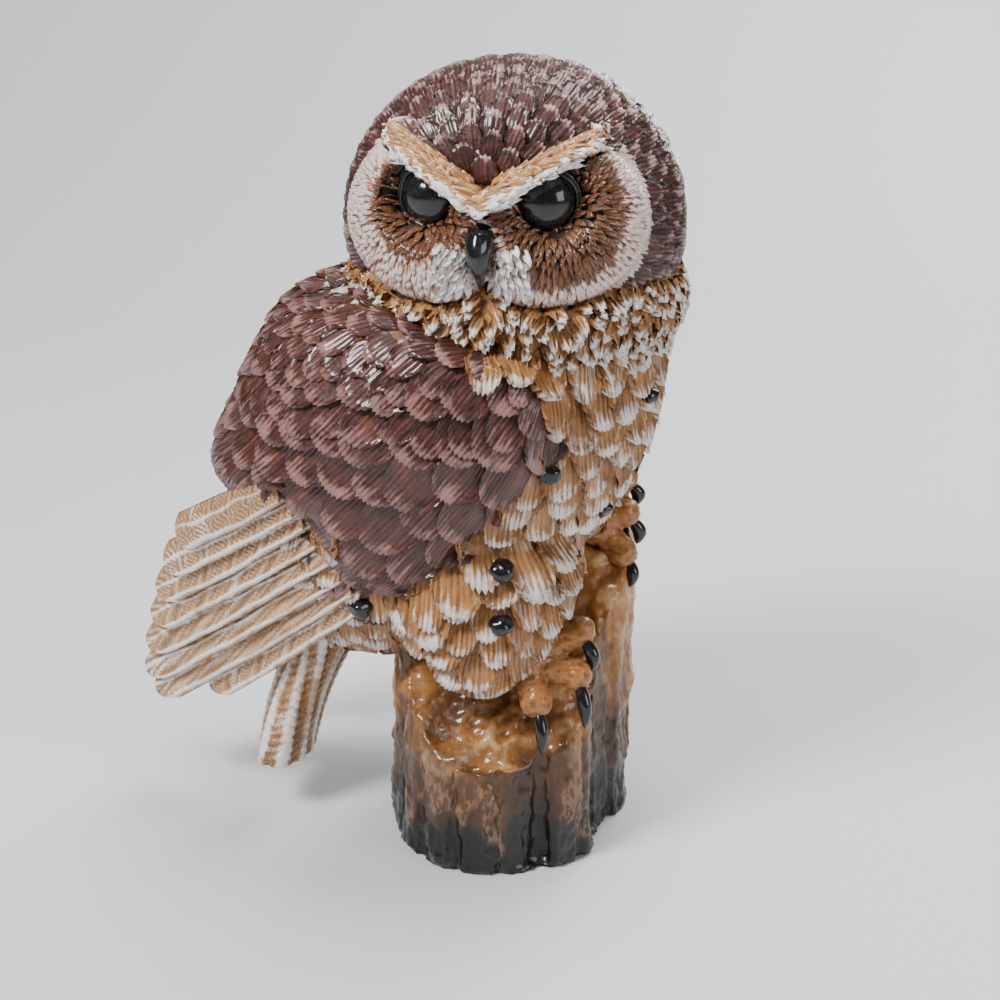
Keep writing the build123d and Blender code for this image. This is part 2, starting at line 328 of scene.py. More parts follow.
class Plumage:
    """Feathers gathered into one mesh, each a closed ridged scale that follows a surface."""

    def __init__(self):
        self.points = []
        self.faces = []
        self.paint = []
        self.count = 0

    def add(self, surface, bases, ways, length, width, *, lift, sink, crown, ridge, tip, ragged,
            ridge_pitch=0.95, waist=0.6, rows=7, curl=0.0, variety=0.12):
        """Add a feather at each base point, lying along its way.

        lift raises its end, sink buries its root, crown arches its middle and curl turns its end up.
        waist and tip shape its outline, ridge and ridge_pitch its barbs, and ragged nicks its end.
        """
        bases = np.asarray(bases, float)
        if len(bases) == 0:
            return
        normals = surface.normal(bases)
        ways = unit(ways - normals * (ways * normals).sum(-1, keepdims=True))
        across = np.cross(normals, ways)
        count = len(bases)
        lengths = length * random.uniform(1 - variety, 1 + variety, count)
        widths = width * random.uniform(1 - variety, 1 + variety, count) / 2
        ridges = max(2, round(width / ridge_pitch))
        columns = ridges * 3 + 1
        u = np.linspace(0, 1, rows)[:, None]
        v = np.linspace(-1, 1, columns)[None, :]
        spreading = waist + (1 - waist) * np.sin(pi / 2 * np.minimum(1, u * 1.7))
        spreading = spreading * (1 - 0.12 * u ** 4)
        forward = u * (1 - tip * np.abs(v) ** 2.6)
        phases = random.uniform(0, 2 * pi, count)
        wave = 0.5 + 0.5 * np.cos(pi * ridges * v[None] + phases[:, None, None] * 0.3)
        wave = np.broadcast_to(wave, (count, rows, columns))
        nick = ragged * (wave - 0.5) * smoothstep(0.6, 1, u)[None]
        run = lengths[:, None, None] * forward[None] + nick
        side = widths[:, None, None] * (spreading * v)[None]
        rise = -sink + lift * u ** 1.2 + crown * (1 - v ** 2) * np.minimum(1, u * 2.5) + curl * u ** 5
        rise = rise[None] + ridge * (wave - 0.5) * np.minimum(1, u * 3)[None]
        shaft = np.exp(-(v * ridges * 0.9) ** 2)[None]
        rise = rise + 0.5 * ridge * shaft
        flat = (bases[:, None, None] + ways[:, None, None] * run[..., None]
                + across[:, None, None] * side[..., None])
        seated = surface.onto(flat)
        outward = surface.normal(seated)
        top = seated + outward * rise[..., None]
        shade = random.uniform(0, 1, count)[:, None, None]
        marks = wave * (0.75 + 0.25 * shaft)
        channels = np.broadcast_arrays(marks, forward[None], (v[None] + 1) / 2, shade)
        colour = np.stack(channels, -1)
        ring = self.border(rows, columns)
        inward = outward.reshape(count, -1, 3)[:, ring] * -(sink + 0.5)
        under = seated.reshape(count, -1, 3)[:, ring] + inward
        self.gather(top.reshape(count, -1, 3), under, colour.reshape(count, -1, 4), rows, columns)

    @staticmethod
    def border(rows, columns):
        """Return the grid's border indices in order."""
        bottom = list(range(columns))
        right = [r * columns + columns - 1 for r in range(1, rows)]
        top = [(rows - 1) * columns + c for c in range(columns - 2, -1, -1)]
        left = [r * columns for r in range(rows - 2, 0, -1)]
        return bottom + right + top + left

    def gather(self, top, under, colour, rows, columns):
        """Store feathers as a top grid, a skirt and a bottom face."""
        ring = self.border(rows, columns)
        size = rows * columns
        rim = len(ring)
        skirt = [[ring[(k + 1) % rim], ring[k], size + k, size + (k + 1) % rim] for k in range(rim)]
        base = [[size + k for k in reversed(range(rim))]]
        pattern = flat_grid(rows, columns) + skirt + base
        skirt_tint = [0.2, 1, 1, 1]
        for index in range(len(top)):
            points = np.concatenate([top[index], under[index]])
            paint = np.concatenate([colour[index], colour[index][ring] * skirt_tint])
            self.store(points, pattern, paint)

    def store(self, points, faces, paint):
        """Store one feather's points, faces and paint."""
        self.points.append(points)
        self.faces += [[self.count + i for i in face] for face in faces]
        self.paint.append(paint)
        self.count += len(points)

    def piece(self, name, material, slot, stands_for=()):
        """Make one mesh piece of all the feathers."""
        return make_piece(name, np.concatenate(self.points), self.faces, material, stands_for,
                          np.concatenate(self.paint))


# ---- materials

class Paint:
    """A node material built up in coats of colour, then varnished."""

    def __init__(self, name, roughness, coat, coat_roughness=0.12):
        self.material = bpy.data.materials.new(name)
        self.material.use_nodes = True
        self.nodes = self.material.node_tree.nodes
        self.links = self.material.node_tree.links
        self.shader = self.nodes["Principled BSDF"]
        finish = {"Roughness": roughness, "Specular IOR Level": 0.25, "Coat Weight": coat,
                  "Coat Roughness": coat_roughness}
        for socket, value in finish.items():
            self.shader.inputs[socket].default_value = value
        self.colour = None
        self.place = self.node("ShaderNodeNewGeometry").outputs["Position"]

    def node(self, kind, **settings):
        """Add a node with settings."""
        made = self.nodes.new(kind)
        for name, value in settings.items():
            setattr(made, name, value)
        return made

    def feed(self, socket, value):
        """Link a socket or set a constant."""
        if hasattr(value, "is_linked"):
            self.links.new(value, socket)
        else:
            socket.default_value = value

    def math(self, operation, first, second):
        """Return the result of a math node."""
        made = self.node("ShaderNodeMath", operation=operation)
        self.feed(made.inputs[0], first)
        self.feed(made.inputs[1], second)
        return made.outputs[0]

    def plus(self, first, second):
        """Return the sum of two values."""
        return self.math("ADD", first, second)

    def times(self, first, second):
        """Return the product of two values."""
        return self.math("MULTIPLY", first, second)

    def texture(self, vector, detail, roughness):
        """Return a noise texture's value at a vector."""
        made = self.node("ShaderNodeTexNoise")
        self.feed(made.inputs["Vector"], vector)
        for socket, value in (("Scale", 1.0), ("Detail", detail), ("Roughness", roughness)):
            made.inputs[socket].default_value = value
        return made.outputs["Fac"]

    def noise(self, size, detail=3.0, stretch=(1, 1, 1)):
        """Return noise from 0 to 1 with features of a size in mm."""
        mapping = self.node("ShaderNodeMapping")
        self.feed(mapping.inputs["Vector"], self.place)
        mapping.inputs["Scale"].default_value = [1 / (size * MM) * s for s in stretch]
        return self.texture(mapping.outputs[0], detail, 0.55)

    def streaks(self, count, channels):
        """Return noise from 0 to 1 drawn out along each feather, with a count of streaks across it."""
        _, along, across, shade = channels
        vector = self.node("ShaderNodeCombineXYZ")
        for socket, value, scale in zip(vector.inputs, (across, along, shade), (count, 1.6, 97.0)):
            self.feed(socket, self.times(value, scale))
        return self.texture(vector.outputs[0], 3.0, 0.6)

    def step(self, value, low, high):
        """Return 0 below low, 1 above high and a smooth ramp between."""
        made = self.node("ShaderNodeMapRange", interpolation_type="SMOOTHSTEP")
        self.feed(made.inputs["Value"], value)
        made.inputs["From Min"].default_value = low
        made.inputs["From Max"].default_value = high
        return made.outputs["Result"]

    def channels(self):
        """Return the painted channels: ridge, along, across and shade."""
        attribute = self.node("ShaderNodeAttribute", attribute_name="paint")
        split = self.node("ShaderNodeSeparateColor")
        self.feed(split.inputs[0], attribute.outputs["Color"])
        return (*split.outputs, attribute.outputs["Alpha"])

    def coat(self, colour, amount=None):
        """Lay a colour over what is there, by an amount from 0 to 1."""
        rgba = (*colour, 1.0)
        if self.colour is None:
            self.colour = rgba
            return
        mix = self.node("ShaderNodeMix", data_type="RGBA")
        self.feed(mix.inputs["Factor"], amount)
        self.feed(mix.inputs[6], self.colour)
        mix.inputs[7].default_value = rgba
        self.colour = mix.outputs[2]

    def bump(self, height, depth):
        """Add a bump of a depth in millimetres."""
        made = self.node("ShaderNodeBump")
        made.inputs["Strength"].default_value = 1.0
        made.inputs["Distance"].default_value = depth * MM
        self.feed(made.inputs["Height"], height)
        self.feed(self.shader.inputs["Normal"], made.outputs[0])

    def done(self):
        """Connect the colour and return the material."""
        self.feed(self.shader.inputs["Base Color"], self.colour)
        return self.material


def feather_paint(name, groove, base, ridge_tint, tip_tint, tip_from, tip_strength, count=8):
    """Return painted feathers: dark grooves, a base, tinted barbs and dry-brushed tips."""
    paint = Paint(name, roughness=0.42, coat=0.55, coat_roughness=0.1)
    channels = paint.channels()
    ridge, along, _, shade = channels
    patches = paint.noise(5.0)
    grain = paint.noise(0.5, detail=4)
    streak = paint.streaks(count, channels)
    raised = paint.plus(streak, paint.times(ridge, 0.35))
    raised = paint.plus(raised, paint.times(grain, 0.3))
    paint.coat(groove)
    paint.coat(base, paint.step(raised, 0.5, 0.85))
    crests = paint.times(paint.step(raised, 0.78, 1.1), paint.step(patches, 0.35, 0.6))
    paint.coat(ridge_tint, crests)
    paint.coat(groove, paint.times(paint.step(shade, 0.6, 1.0), 0.35))
    reach = paint.plus(along, paint.times(paint.plus(raised, -0.8), 0.75))
    reach = paint.plus(reach, paint.times(paint.plus(patches, -0.5), 0.8))
    paint.coat(tip_tint, paint.times(paint.step(reach, tip_from, tip_from + 0.3), tip_strength))
    paint.bump(paint.plus(streak, paint.times(grain, 0.6)), 0.22)
    return paint.done()


def blade_paint():
    """Return long pale feathers: tan vanes with white rubbed on the lips, shafts and barbs."""
    hollow = (0.15, 0.065, 0.022)
    paint = Paint("long_feathers", roughness=0.42, coat=0.5)
    channels = paint.channels()
    ridge, along, _, shade = channels
    patches = paint.noise(8)
    grain = paint.noise(0.45, detail=4)
    worn = paint.plus(ridge, paint.times(paint.plus(grain, -0.5), 0.9))
    paint.coat(hollow)
    paint.coat((0.4, 0.22, 0.1), paint.step(worn, -0.15, 0.3))
    paint.coat((0.62, 0.46, 0.33), paint.times(paint.step(worn, 0.2, 0.5), 0.8))
    reach = paint.plus(worn, paint.times(paint.plus(patches, -0.5), 1.6))
    reach = paint.plus(reach, paint.times(along, 0.25))
    paint.coat((0.84, 0.8, 0.77), paint.times(paint.step(reach, 0.62, 0.95), 0.95))
    paint.coat(hollow, paint.times(paint.step(shade, 0.5, 1.0), 0.15))
    paint.bump(paint.plus(worn, grain), 0.15)
    return paint.done()


def brow_paint():
    """Return tan paint that turns white along the lower edge."""
    paint = Paint("brow_paint", roughness=0.36, coat=0.85)
    ridge, lower, _, _ = paint.channels()
    grain = paint.noise(0.8, detail=4)
    paint.coat((0.3, 0.13, 0.045))
    paint.coat((0.55, 0.3, 0.12), paint.step(paint.plus(ridge, grain), 0.7, 1.2))
    edge = paint.plus(lower, paint.times(grain, 0.6))
    paint.coat((0.88, 0.82, 0.77), paint.step(edge, 0.55, 0.95))
    paint.bump(grain, 0.2)
    return paint.done()


def core_paint(name, colour):
    """Return the dark paint that shows between feathers."""
    paint = Paint(name, roughness=0.5, coat=0.5)
    paint.coat(colour)
    paint.coat([c * 1.8 for c in colour], paint.step(paint.noise(1.5), 0.45, 0.75))
    paint.bump(paint.noise(0.8), 0.2)
    return paint.done()


def black_paint():
    """Return glossy black enamel with a faint brushed unevenness."""
    paint = Paint("black_enamel", roughness=0.2, coat=0.6, coat_roughness=0.05)
    paint.coat((0.006, 0.006, 0.007))
    paint.coat((0.03, 0.028, 0.028), paint.step(paint.noise(1.2), 0.5, 0.8))
    paint.bump(paint.noise(0.9, detail=2), 0.03)
    return paint.done()


def wood_paint(name="painted_wood", feet=False):
    """Return ochre wood with rubbed ridges, darker towards the ground, with painted shade on the sides."""
    paint = Paint(name, roughness=0.4, coat=0.5, coat_roughness=0.08)
    ridge, height, level, _ = paint.channels()
    patches = paint.noise(6)
    grain = paint.noise(0.9, detail=5, stretch=(1, 1, 0.4))
    paint.coat((0.12, 0.042, 0.008))
    worn = paint.plus(paint.times(ridge, 0.8), paint.times(grain, 0.5))
    paint.coat((0.33, 0.135, 0.034), paint.step(worn, 0.35, 0.75))
    crests = paint.times(paint.step(worn, 0.85, 1.1), paint.step(patches, 0.4, 0.6))
    paint.coat((0.6, 0.34, 0.14), crests)
    if not feet:
        wander = paint.times(paint.plus(patches, -0.5), 0.35)
        place = paint.plus(height, wander)
        place = paint.plus(place, paint.times(ridge, 0.12))
        # painted shade: side-facing wood darkens downwards while the top keeps its ochre
        dark = paint.times(paint.step(place, 0.95, 0.5), paint.step(level, 0.2, 0.7))
        paint.coat((0.035, 0.014, 0.006), paint.times(dark, 0.88))
        paint.coat((0.005, 0.004, 0.004), paint.step(place, 0.46, 0.2))
        rubbed = paint.times(paint.step(ridge, 0.8, 0.97), paint.step(grain, 0.45, 0.6))
        paint.coat((0.34, 0.2, 0.12), paint.times(rubbed, 0.4))
    paint.bump(paint.plus(grain, ridge), 0.25)
    return paint.done()


BROWN = feather_paint("brown_feathers", (0.016, 0.005, 0.004), (0.075, 0.021, 0.016), (0.2, 0.062, 0.046),
                      (0.44, 0.23, 0.2), tip_from=0.76, tip_strength=0.6)
CROWN = feather_paint("crown_feathers", (0.012, 0.004, 0.004), (0.065, 0.02, 0.015), (0.19, 0.06, 0.044),
                      (0.52, 0.36, 0.33), tip_from=0.8, tip_strength=0.6, count=5)
TAN = feather_paint("tan_feathers", (0.13, 0.05, 0.014), (0.36, 0.16, 0.05), (0.5, 0.27, 0.11),
                    (0.8, 0.75, 0.71), tip_from=0.74, tip_strength=0.92)
THROAT = feather_paint("throat_feathers", (0.15, 0.06, 0.018), (0.4, 0.19, 0.065), (0.52, 0.3, 0.13),
                       (0.82, 0.78, 0.74), tip_from=0.62, tip_strength=0.95, count=4)
BROW = feather_paint("brow_strands", (0.2, 0.08, 0.025), (0.45, 0.22, 0.085), (0.6, 0.36, 0.17),
                     (0.84, 0.78, 0.72), tip_from=0.9, tip_strength=0.6, count=3)
WHITE = feather_paint("white_tufts", (0.2, 0.09, 0.035), (0.45, 0.26, 0.13), (0.68, 0.55, 0.44),
                      (0.88, 0.85, 0.82), tip_from=0.2, tip_strength=0.97, count=3)
DISC = feather_paint("disc_feathers", (0.15, 0.06, 0.035), (0.38, 0.19, 0.12), (0.6, 0.4, 0.33),
                     (0.8, 0.63, 0.59), tip_from=0.34, tip_strength=0.9, count=2.5)
SOCKET = feather_paint("socket_feathers", (0.05, 0.018, 0.008), (0.16, 0.06, 0.025), (0.28, 0.12, 0.06),
                       (0.5, 0.33, 0.26), tip_from=0.9, tip_strength=0.6, count=2.5)
WING_FAN = blade_paint()
BROW_PAINT = brow_paint()
BLACK = black_paint()
WOOD = wood_paint()
SKIN = wood_paint("painted_toes", feet=True)
BROWN_CORE = core_paint("brown_core", (0.02, 0.008, 0.006))
TAN_CORE = core_paint("tan_core", (0.16, 0.07, 0.022))


# ---- directions taken from the frame

GAZE_SPLAY = 16

eyes = {side: node_centre(f"{side}_eye") for side in SIDES}
face_across = unit((eyes["left"] - eyes["right"]) * [1, 1, 0])
facing = np.cross(face_across, UP)
beak = node_points("beak")
beak_base = beak[beak[:, 2] > beak[:, 2].max() - 1].mean(0)
beak_tip = beak[beak[:, 2] < beak[:, 2].min() + 0.6].mean(0)
brow_point = node_points("brow")
brow_point = brow_point[np.argmin(brow_point[:, 2])]
body_middle = (node_centre("right_shoulder_coverts") + node_centre("left_shoulder_coverts")) / 2
right = unit((node_centre("right_shoulder_coverts") - node_centre("left_shoulder_coverts")) * [1, 1, 0])
forward = np.cross(UP, right)
if forward[0] < 0:
    forward = -forward


def slope(degrees):
    """Return the direction that leads back along the body and down by an angle."""
    return -forward * cos(radians(degrees)) - UP * sin(radians(degrees))


# ---- body plumage

BODY_PARTS = ("shoulder_coverts", "wing_coverts", "thigh")
BODY_NODES = ["body"] + [f"{side}_{part}" for part in BODY_PARTS for side in SIDES]


def make_body():
    """Make the core, wings, back, breast and thighs."""
    surface = StarSurface(body_middle * [1, 1, 0] + UP * 70, BODY_NODES, smoothing=2)
    points, faces = surface.core(1.3)
    make_piece("body_core", points, faces, TAN_CORE, ["body", "right_thigh", "left_thigh"])

    everywhere = surface.everywhere()
    owner = surface.owners(everywhere)
    ahead = (everywhere - body_middle) @ forward
    height = everywhere[:, 2]
    beside = (everywhere - body_middle) @ right
    shoulder = np.char.endswith(owner, "shoulder_coverts")
    lower = np.char.endswith(owner, "wing_coverts")
    plain = ~(shoulder | lower)

    for side, sign in SIDES.items():
        mine = beside * sign < 0
        wing = Plumage()
        # area, fall in degrees, spacing, length, width, lift, curl, waist
        rows = (
            (shoulder & (height > 92), 50, 3.9, 6.4, 6.4, 1.2, 0.5, 0.45),
            (shoulder & (height <= 93) & (height > 86), 50, 5.2, 8.2, 8.6, 1.5, 0.6, 0.45),
            ((shoulder & (height <= 87)) | (lower & (ahead > -12)), 46, 6.6, 10.2, 11, 1.8, 0.7, 0.45),
            (lower & (ahead <= -11) & (ahead > -22), 36, 5.8, 12, 8.6, 1.7, 0.7, 0.55),
            (lower & (ahead <= -20), 28, 4.5, 17, 5.6, 1.6, 0.6, 0.75),
        )
        for area, fall, spacing, length, width, lift, curl, waist in rows:
            area = area & mine
            flow = slope(fall)
            places = spread(everywhere[area], spacing, everywhere[area] @ flow)
            wing.add(surface, places, flow * np.ones_like(places), length, width, lift=lift, sink=1.5,
                     crown=0.35, ridge=0.2, curl=curl, waist=waist, tip=0.36, ragged=0.5)
        wing.piece(f"{side}_wing_feathers", BROWN, "brown_feather",
                   [f"{side}_shoulder_coverts", f"{side}_wing_coverts"])

    breast = Plumage()
    for area, spacing, length, width, lift in (
        (plain & (height > 74), 4.8, 7.8, 7.2, 1.7),
        (plain & (height <= 75) & (height > 56), 5.8, 9.2, 8.6, 2.0),
        (plain & (height <= 57), 4.8, 7.4, 7.4, 1.7),
    ):
        places = spread(everywhere[area], spacing, -everywhere[area][:, 2])
        breast.add(surface, places, -UP * np.ones_like(places), length, width, lift=lift, sink=1.5,
                   crown=0.4, ridge=0.18, curl=0.8, tip=0.42, ragged=0.7)
    breast.piece("breast_feathers", TAN, "tan_feather")


def make_neck():
    """Make the ruff of ragged tufts round the throat."""
    surface = StarSurface(node_centre("neck_ruff"), ["neck_ruff", "head", "body"], smoothing=2)
    everywhere = surface.everywhere(24000)
    area = everywhere[surface.owners(everywhere) == "neck_ruff"]
    ring, faces, normals = remeshed(["neck_ruff"], 0.8, 2)
    ring = ring - normals * 0.9
    make_piece("ruff_core", ring, faces, TAN_CORE, ["neck_ruff"])
    tufts = Plumage()
    fore = (area - surface.centre) @ facing
    for zone, spacing, length, width in ((fore > -6, 1.7, 3.8, 2.2), (fore <= -6, 2.4, 4.8, 3.4)):
        places = spread(area[zone], spacing, -area[zone][:, 2])
        swirl = unit(np.cross(UP, places - surface.centre)) * random.uniform(-0.7, 0.7, (len(places), 1))
        tufts.add(surface, places, swirl - UP, length, width, lift=1.3, sink=1.0, crown=0.35, ridge=0.16,
                  ridge_pitch=0.7, tip=0.6, curl=0.5, ragged=0.8, rows=5, variety=0.35)
    tufts.piece("throat_tufts", THROAT, "tan_feather")


def make_head():
    """Make the crown, nape, facial discs and chin."""
    centre = node_centre("head")
    surface = StarSurface(centre, ["head", "right_facial_disc", "left_facial_disc"], 1)
    points, faces = surface.core(0.8)
    make_piece("head_core", points, faces, BROWN_CORE, ["head"])
    everywhere = surface.everywhere()
    owner = surface.owners(everywhere)
    fore = (everywhere - centre) @ facing
    above = everywhere[:, 2] - brow_line(everywhere)
    sideways = np.abs((everywhere - brow_point) @ face_across)
    from_eyes = np.minimum(*(np.linalg.norm(everywhere - eye, axis=1) for eye in eyes.values()))
    crown_area = (owner == "head") & ((above > 0.4) | (fore < 8) | (sideways > 13) & (from_eyes > 11))
    crown = Plumage()
    for zone, spacing, length, width, lift in (
        (crown_area & (fore > 0), 2.9, 4.6, 4.6, 0.95),
        (crown_area & (fore <= 1), 4.0, 6.2, 5.8, 1.3),
    ):
        area = everywhere[zone]
        places = spread(area, spacing, np.linalg.norm(area - brow_point, axis=1))
        back = smoothstep(-4, -14, (places - centre) @ facing)[:, None]
        ways = unit(places - brow_point) * (1 - back) - UP * back
        crown.add(surface, places, ways, length, width, lift=lift, sink=0.9, crown=0.45, ridge=0.18,
                  ridge_pitch=0.8, curl=0.5, tip=0.5, ragged=0.4)
    crown.piece("crown_feathers", CROWN, "brown_feather")

    for side, sign in SIDES.items():
        make_disc(surface, side, sign)
    chin = Plumage()
    offset = everywhere - beak_base
    sideways = offset @ face_across
    chin_area = (fore > 12) & (np.abs(sideways) < 6) & (offset[:, 2] < -1) & (offset[:, 2] > -8.5)
    chin_area &= np.abs(sideways) > 2.2 - 0.5 * np.clip(-offset[:, 2] - 6, 0, 5)
    places = spread(everywhere[chin_area], 0.95, -everywhere[chin_area][:, 2])
    spray = unit(face_across * ((places - beak_base) @ face_across)[:, None] * 0.14 - UP)
    chin.add(surface, places, spray, 2.6, 1.15, lift=1.0, sink=0.5, crown=0.2, ridge=0.1, ridge_pitch=0.6,
             tip=0.6, curl=0.4, ragged=0.4, rows=5, variety=0.35)
    chin.piece("chin_tufts", WHITE, "tan_feather")


BROW_RISE = 4
BROW_UNDERSIDE = 2.6
BROW_WHITE_FROM = 1.1


def brow_line(points):
    """Return the height of the V of the brow above each point."""
    brow = node_points("brow")
    end_height = brow[:, 2].max()
    half = np.abs((brow - brow_point) @ face_across).max()
    sideways = np.abs((points - brow_point) @ face_across)
    start = brow_point[2] + BROW_RISE
    return start + (end_height - start) * np.clip(sideways / half, 0, 1.4)


DISC_RINGS = (3.5, 19, 1.0)
DISC_BARB_PITCH = 0.82
SOCKET_RADIUS = {"right": 7.4, "left": 10.4}


def make_disc(surface, side, sign):
    """Make one facial disc: rings of fine feathers that fan out from the eye."""
    eye = eyes[side]
    gaze = turned(facing, sign * GAZE_SPLAY)
    across = np.cross(UP, gaze)
    across = across * np.sign(across @ face_across)
    seat = eye + gaze * 2.5 - UP * 0.4
    inner = Plumage()
    outer = Plumage()
    for radius in np.arange(*DISC_RINGS):
        count = int(2 * pi * radius / DISC_BARB_PITCH)
        angles = (np.arange(count) + random.uniform(0, 1, count) * 0.6) * 2 * pi / count
        spokes = across * np.cos(angles)[:, None] + UP * np.sin(angles)[:, None]
        bases = surface.onto(seat + spokes * (radius + random.uniform(-0.4, 0.4, (count, 1))))
        below_brow = bases[:, 2] + 2.2 * np.sin(angles) < brow_line(bases) - BROW_UNDERSIDE
        beak_room = 1.9 - 0.2 * np.clip(beak_base[2] - bases[:, 2], 0, 9)
        beside_beak = ((bases - beak_base) @ face_across) * sign > beak_room
        within = (surface.owners(bases) == f"{side}_facial_disc") | (radius < 10)
        keep = below_brow & beside_beak & within
        brown = radius < SOCKET_RADIUS[side]
        outward = np.cos(angles) * sign
        dark = keep & (brown & (outward > -0.3) | (radius < 6.6))
        for plumage, chosen in ((inner, dark), (outer, keep & ~dark)):
            plumage.add(surface, bases[chosen], spokes[chosen], 2.7, 1.05, lift=0.5, sink=0.4, crown=0.16,
                        ridge=0.08, ridge_pitch=0.5, tip=0.5, waist=0.75, rows=4, ragged=0.3, variety=0.3)
    inner.piece(f"{side}_disc_inner", SOCKET, "face_feather")
    outer.piece(f"{side}_disc_outer", DISC, "face_feather", [f"{side}_facial_disc"])


# ring radius, cord radius and height in front of the eye's centre
EYE_RIMS = ((4.65, 0.3, 2.3), (5.15, 0.36, 1.9), (5.8, 0.34, 1.2))


def make_eye(side, sign):
    """Make a glossy eyeball with a faint iris ring, and the folded rims round it."""
    gaze = turned(facing, sign * GAZE_SPLAY)
    helper = np.cross(UP, gaze)
    rise = np.cross(gaze, helper)
    ball = node_points(f"{side}_eye")
    radius = np.ptp(ball[:, 2]) / 2
    rows, columns = 28, 56
    directions = sphere(rows, columns)
    polar = np.arccos(directions[:, 2])
    dent = 0.12 * np.exp(-((polar - 0.62) / 0.05) ** 2) + 0.08 * np.exp(-((polar - 0.95) / 0.05) ** 2)
    points = eyes[side] + directions @ np.array([helper, rise, gaze]) * (radius - dent)[:, None]
    make_piece(f"{side}_eyeball", points, wrapped(rows, columns), BLACK, [f"{side}_eye"])
    rims = []
    rim_faces = []
    around, section = 72, 10
    for ring, (major, minor, lift) in enumerate(EYE_RIMS):
        start = len(rims)
        for k in range(around):
            turn = 2 * pi * k / around
            spoke = helper * cos(turn) + rise * sin(turn)
            wobble = 1 + 0.03 * noise.noise(Vector((cos(turn) * 2, sin(turn) * 2, ring + sign * 3.0)))
            for j in range(section):
                bend = 2 * pi * j / section
                rims.append(eyes[side] + spoke * (major * wobble + minor * cos(bend))
                            + gaze * (lift + minor * sin(bend)))
        size = around * section
        rim_faces += [[start + i % size for i in face] for face in wrapped(around, section)]
    make_piece(f"{side}_eye_rims", rims, rim_faces, BLACK, [f"{side}_eye_rim"])


def make_brow():
    """Make the V of the brow: a knobbly band with strands along it, tan above and white below."""
    points, faces, normals = remeshed(["brow"], 0.45, 6)
    drop = smoothstep(-1.4, 0.6, brow_line(points) - BROW_UNDERSIDE - points[:, 2])
    out = np.abs((points - brow_point) @ face_across)
    strands = np.array([noise.noise(Vector((o * 0.9, p[2] * 2.2, 3.0))) for o, p in zip(out, points)])
    points = points + normals * (strands * 0.5 - 0.3)[:, None]
    paint = np.stack([np.clip(0.5 + strands, 0, 1), drop, drop * 0, np.full(len(points), 0.5)], -1)
    make_piece("brow_band", points, faces, BROW_PAINT, ["brow"], paint)
    surface = StarSurface(node_centre("head"), ["brow", "head", "right_facial_disc", "left_facial_disc"], 0)
    everywhere = surface.everywhere(60000)
    area = everywhere[surface.owners(everywhere) == "brow"]
    low = brow_line(area) - area[:, 2] > BROW_WHITE_FROM
    for name, zone, material in (("brow_edge", low, WHITE), ("brow_strands", ~low, BROW)):
        strands = Plumage()
        places = spread(area[zone], 1.15, np.abs((area[zone] - brow_point) @ face_across))
        ways = face_across * np.sign((places - brow_point) @ face_across)[:, None] + UP * 0.42
        strands.add(surface, places, ways, 3.2, 1.4, lift=0.45, sink=0.35, crown=0.25, ridge=0.12,
                    ridge_pitch=0.6, tip=0.6, waist=0.8, rows=5, ragged=0.4, variety=0.3)
        strands.piece(name, material, "tan_feather")


def make_beak():
    """Make the hooked beak."""
    base = beak_base + facing * 0.2 + UP * 1.0
    tip = beak_tip + UP * -0.2
    stations, columns = 18, 24
    points = []
    for k in range(stations + 1):
        t = k / stations
        hook = 1.5 * sin(pi * min(1, t * 1.15)) - 0.9 * t * t
        centre = base * (1 - t) + tip * t + facing * hook
        wide = 2.3 * (1 - 0.5 * t) * (1 - t ** 3) ** 0.75 * (0.8 + 0.2 * min(1, t * 5)) + 0.12
        deep = 2.0 * (1 - t ** 2.2) ** 0.7 + 0.15
        for c in range(columns):
            turn = 2 * pi * c / columns
            keel = 1 + 0.12 * max(0, sin(turn)) ** 6
            points.append(centre + face_across * wide * cos(turn) + facing * deep * sin(turn) * keel)
    make_piece("hooked_beak", points, tube(stations, columns), BLACK, ["beak"])


# ---- wing fan and tail

BARB_PITCH = 1.1
TAIL_RIDGES = 9

